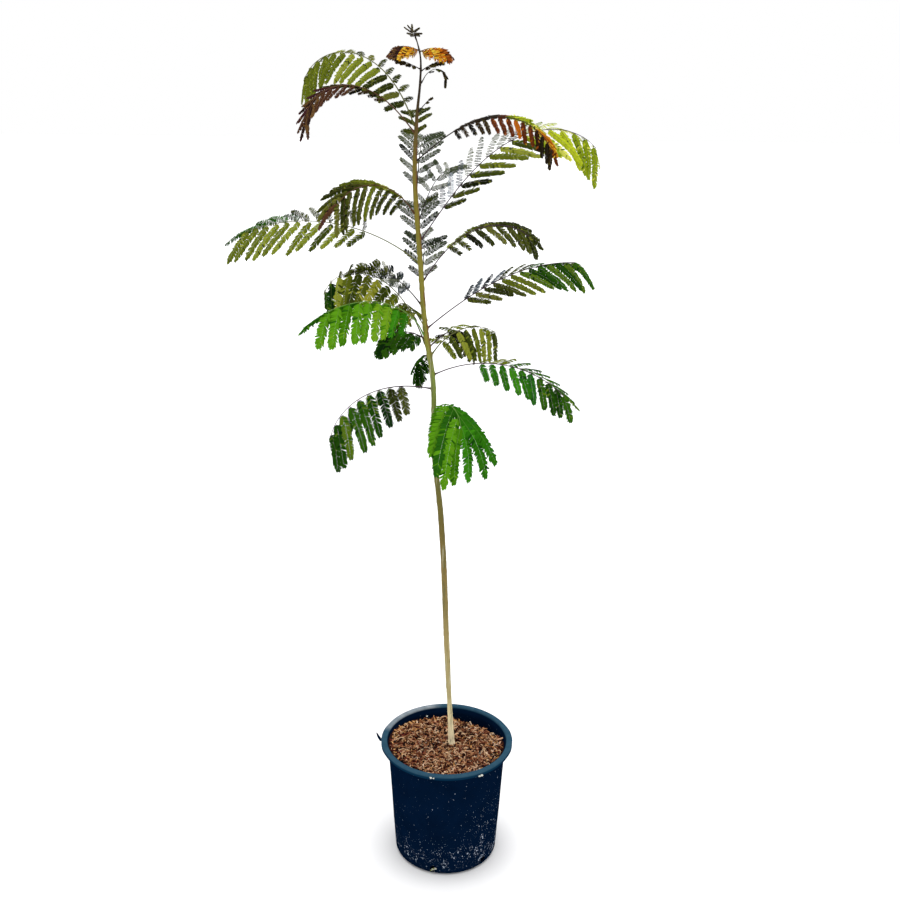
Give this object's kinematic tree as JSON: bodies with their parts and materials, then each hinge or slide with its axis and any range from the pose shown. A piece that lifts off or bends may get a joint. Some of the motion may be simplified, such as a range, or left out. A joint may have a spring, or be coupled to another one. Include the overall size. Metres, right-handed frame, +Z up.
{
  "type": "potted persian silk tree",
  "caption": "Slim leaning young persian silk tree with long arching feathery fronds, in a tapered round nursery pot filled with bark mix.",
  "frame": {"origin": "centre of the pot's flat underside, at the level it stands on", "axes": "+Z up the plant, -Y to the front and +X to the right, as the picture shows it"},
  "size_m": [0.7534, 0.3734, 1.7901],
  "materials": {
    "pot": "dark navy moulded plastic, dusty towards the foot",
    "potting_mix": "reddish-brown bark and coir chips",
    "bark": "smooth young bark, tan at the foot and olive-brown higher up",
    "leaf_bright": "bright green leaf",
    "leaf_deep": "deep green leaf",
    "leaf_olive": "olive leaf",
    "leaf_dusk": "pale grey-green leaf",
    "leaf_bronze": "bronze young leaf",
    "leaf_amber": "orange to yellow young leaf",
    "leaf_lime": "yellow-green leaf",
    "leaf_dark": "dark small young leaf"
  },
  "bodies": {
    "root": {"pot": "pot", "potting_mix": "potting_mix", "stem": "bark", "frond_01_front": "leaf_bright", "frond_02_left": "leaf_deep", "frond_03_right": "leaf_deep", "frond_04_back": "leaf_deep", "frond_05_right": "leaf_bright", "frond_06_left": "leaf_deep", "frond_07_left": "leaf_olive", "frond_08_left": "leaf_bright", "frond_09_right": "leaf_deep", "frond_10_back": "leaf_olive", "frond_11_back": "leaf_deep", "frond_12_back": "leaf_olive", "frond_13_right": "leaf_olive", "frond_14_left": "leaf_olive", "frond_15_right": "leaf_lime", "frond_16_back": "leaf_dusk", "frond_17_back": "leaf_dusk", "frond_18_left": "leaf_olive", "frond_19_back": "leaf_dusk", "frond_20_back": "leaf_dusk", "frond_21_right": "leaf_amber", "frond_22_back": "leaf_deep", "frond_23_left": "leaf_bronze", "frond_24_left": "leaf_olive", "young_25_right": "leaf_dark", "young_26_right": "leaf_dark", "young_27_right": "leaf_dark", "young_28_left": "leaf_dark", "young_29_right": "leaf_amber", "young_30_left": "leaf_bronze", "young_31_tip": "leaf_dark"}
  },
  "joints": []
}
